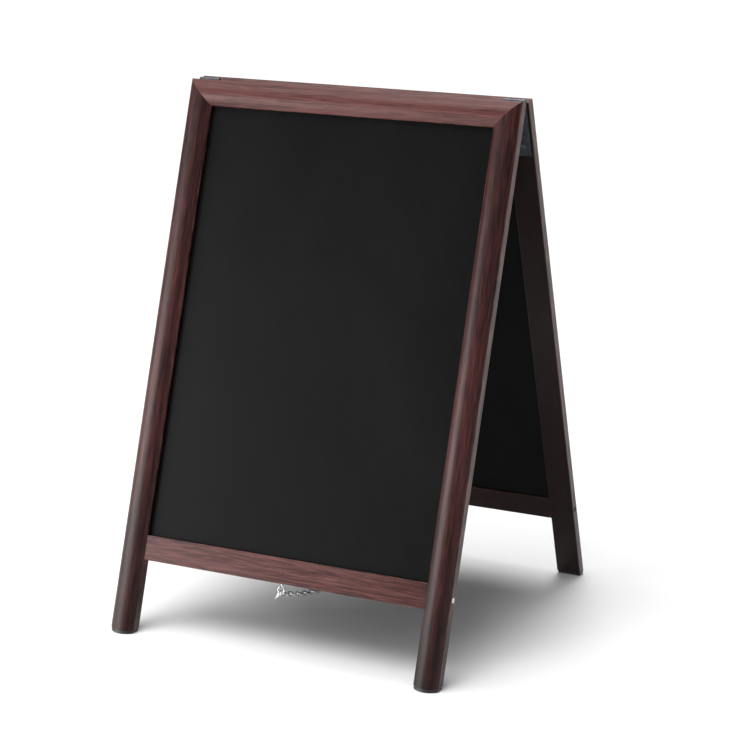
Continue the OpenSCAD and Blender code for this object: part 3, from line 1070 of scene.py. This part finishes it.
def hinge_pin(side, hand):
    """A rivet-like pin with a domed head at each end."""
    half = STRAP_W / 2
    profile = [(r * MM, -half - z * MM) for r, z in PIN_DOME]
    profile += [(r * MM, half + z * MM) for r, z in PIN_DOME[::-1]]
    bm = bmesh.new()
    middle = Matrix.Translation((side * HINGE_X, BARREL_R, PIN_S))
    place = middle @ Matrix.Rotation(pi / 2, 4, "Y")
    moved(bm, revolve(bm, profile, 28), place)
    mesh = mesh_of(bm, f"{hand}_pin")
    show(mesh, FRONT, "front_frame", [f"{hand}_hinge_pin"], HINGE_STEEL)


def hinges():
    for hand, side in (("left", -1), ("right", 1)):
        strap("front", side, hand)
        strap("rear", -side, hand)
        hinge_pin(side, hand)


# ---- Chain ----
LINK_SIDES = 14
WELD_SWELL = 0.07
WELD_HALF = 0.8 * MM
BOW_STEPS = 14
STRAIGHT_STEPS = 10


def chain_link(bm):
    """A welded link in the xy plane, its length along y, with the weld's swelling on one side."""
    bow = (LINK_W - LINK_WIRE) / 2
    straight = (LINK_LEN - LINK_W) / 2
    rows = [straight * (1 - 2 * k / STRAIGHT_STEPS) for k in range(1, STRAIGHT_STEPS)]
    path = arc((0, straight), bow, 0, pi, BOW_STEPS) + [(-bow, y) for y in rows]
    path += arc((0, -straight), bow, pi, 2 * pi, BOW_STEPS) + [(bow, -y) for y in rows]

    def radius(i, angle):
        x, y = path[i]
        swell = WELD_SWELL * math.exp(-((y / WELD_HALF) ** 2)) if x > bow * 0.99 else 0.0
        return LINK_WIRE / 2 * (1 + swell)

    points = [(x, y, 0) for x, y in path]
    return wire(bm, points, Vector((0, 0, 1)), radius, LINK_SIDES, closed=True)


def link_places(node):
    """Where each link of a CAD chain node lies, from the shape of its solid."""
    bm = cad_copy([node], Matrix())
    places = []
    for group in islands(bm):
        points = np.array([vertex.co for vertex in group])
        axes = np.linalg.eigh(np.cov((points - points.mean(0)).T))[1]
        along, across = Vector(axes[:, 2]), Vector(axes[:, 1])
        along = along if along.y + 0.5 * along.z > 0 else -along
        across = across if across.x + across.z > 0 else -across
        basis = np.array([across, along, across.cross(along)])
        spread = points @ basis.T
        centre = Vector((spread.min(0) + spread.max(0)) / 2 @ basis)
        turned = Matrix(basis.tolist()).transposed().to_4x4()
        places.append(Matrix.Translation(centre) @ turned)
    bm.free()
    return sorted(places, key=lambda place: place.translation.y)


def chain():
    for node in sorted(name for name in frame["nodes"] if name.startswith("chain_")):
        mesh = mesh_of(copies(chain_link, link_places(node)), node + "_links")
        show(mesh, Matrix(), node, [node], CHAIN_STEEL, 60)


# ---- Studio ----
CAMERA_AT = Vector((1.5387, -3.0625, 1.2663))
CAMERA_TURN = radians(26.4287)
CAMERA_TILT = radians(-14.6567)
CAMERA_ROLL = radians(0.2625)
CAMERA_LENS = 110.4


def camera():
    data = bpy.data.cameras.new("photo_camera")
    data.lens = CAMERA_LENS
    made = bpy.data.objects.new("photo_camera", data)
    bpy.context.scene.collection.objects.link(made)
    turned = Matrix.Rotation(CAMERA_TURN, 4, "Z") @ Matrix.Rotation(pi / 2 + CAMERA_TILT, 4, "X")
    rolled = turned @ Matrix.Rotation(CAMERA_ROLL, 4, "Z")
    made.matrix_world = Matrix.Translation(CAMERA_AT) @ rolled
    bpy.context.scene.camera = made


# Each far light: degrees above the horizon, degrees from the front towards the left, and strength
SOFT_LIGHTS = {
    "overhead": (90, 0, 0.30),
    "front_high": (62, 10, 0.38),
    "left_high": (62, 42, 0.25),
    "rear_high": (62, 160, 0.40),
}
# Each soft box beside the board: centre, width and height, and watts
SOFT_BOXES = {
    "left_box": ((-1.55, -1.35, 0.6), (1.5, 1.1), 30),
    "right_box": ((1.8, -1.2, 0.45), (0.7, 0.9), 1.5),
}
SOFT_ANGLE = radians(36)
SURROUND = 0.05
BOARD_MIDDLE = Vector((0, 0, 0.45))
FLOOR_HALF = 30.0
FLOOR_CELLS = 12


def soft_light(name, height, turn, strength):
    """A broad, far light. At strength 1 it alone makes a white floor straight below it white."""
    data = bpy.data.lights.new(name, "SUN")
    data.angle = SOFT_ANGLE
    data.energy = strength * pi
    made = bpy.data.objects.new(name, data)
    bpy.context.scene.collection.objects.link(made)
    aim = Matrix.Rotation(-radians(turn), 4, "Z") @ Matrix.Rotation(radians(90 - height), 4, "X")
    made.matrix_world = aim


def soft_box(name, centre, size, watts):
    data = bpy.data.lights.new(name, "AREA")
    data.shape = "RECTANGLE"
    data.size, data.size_y = size
    data.energy = watts
    made = bpy.data.objects.new(name, data)
    bpy.context.scene.collection.objects.link(made)
    made.location = centre
    made.rotation_euler = (Vector(centre) - BOARD_MIDDLE).to_track_quat("Z", "Y").to_euler()


def studio():
    """A pale floor, a dim surround and the soft lights."""
    bm = bmesh.new()
    bmesh.ops.create_grid(bm, x_segments=FLOOR_CELLS, y_segments=FLOOR_CELLS, size=FLOOR_HALF)
    floor = bpy.data.objects.new("floor", mesh_of(bm, "floor"))
    floor.data.materials.append(floor_white())
    bpy.context.scene.collection.objects.link(floor)
    world = bpy.data.worlds.new("studio")
    world.use_nodes = True
    world.node_tree.nodes["Background"].inputs["Color"].default_value = (1, 1, 1, 1)
    world.node_tree.nodes["Background"].inputs["Strength"].default_value = SURROUND
    bpy.context.scene.world = world
    bpy.context.scene.view_settings.view_transform = "Standard"
    for name, values in SOFT_LIGHTS.items():
        soft_light(name, *values)
    for name, values in SOFT_BOXES.items():
        soft_box(name, *values)


camera()
studio()
for seed, half in enumerate(("front", "rear")):
    wooden_members(half, 10 * seed + 1)
    chalkboard(half, 3.7 * seed + 1)
    joinery(half)
    fasteners(half)
    foot_pads(half)
    screw_eye(half)
hinges()
chain()
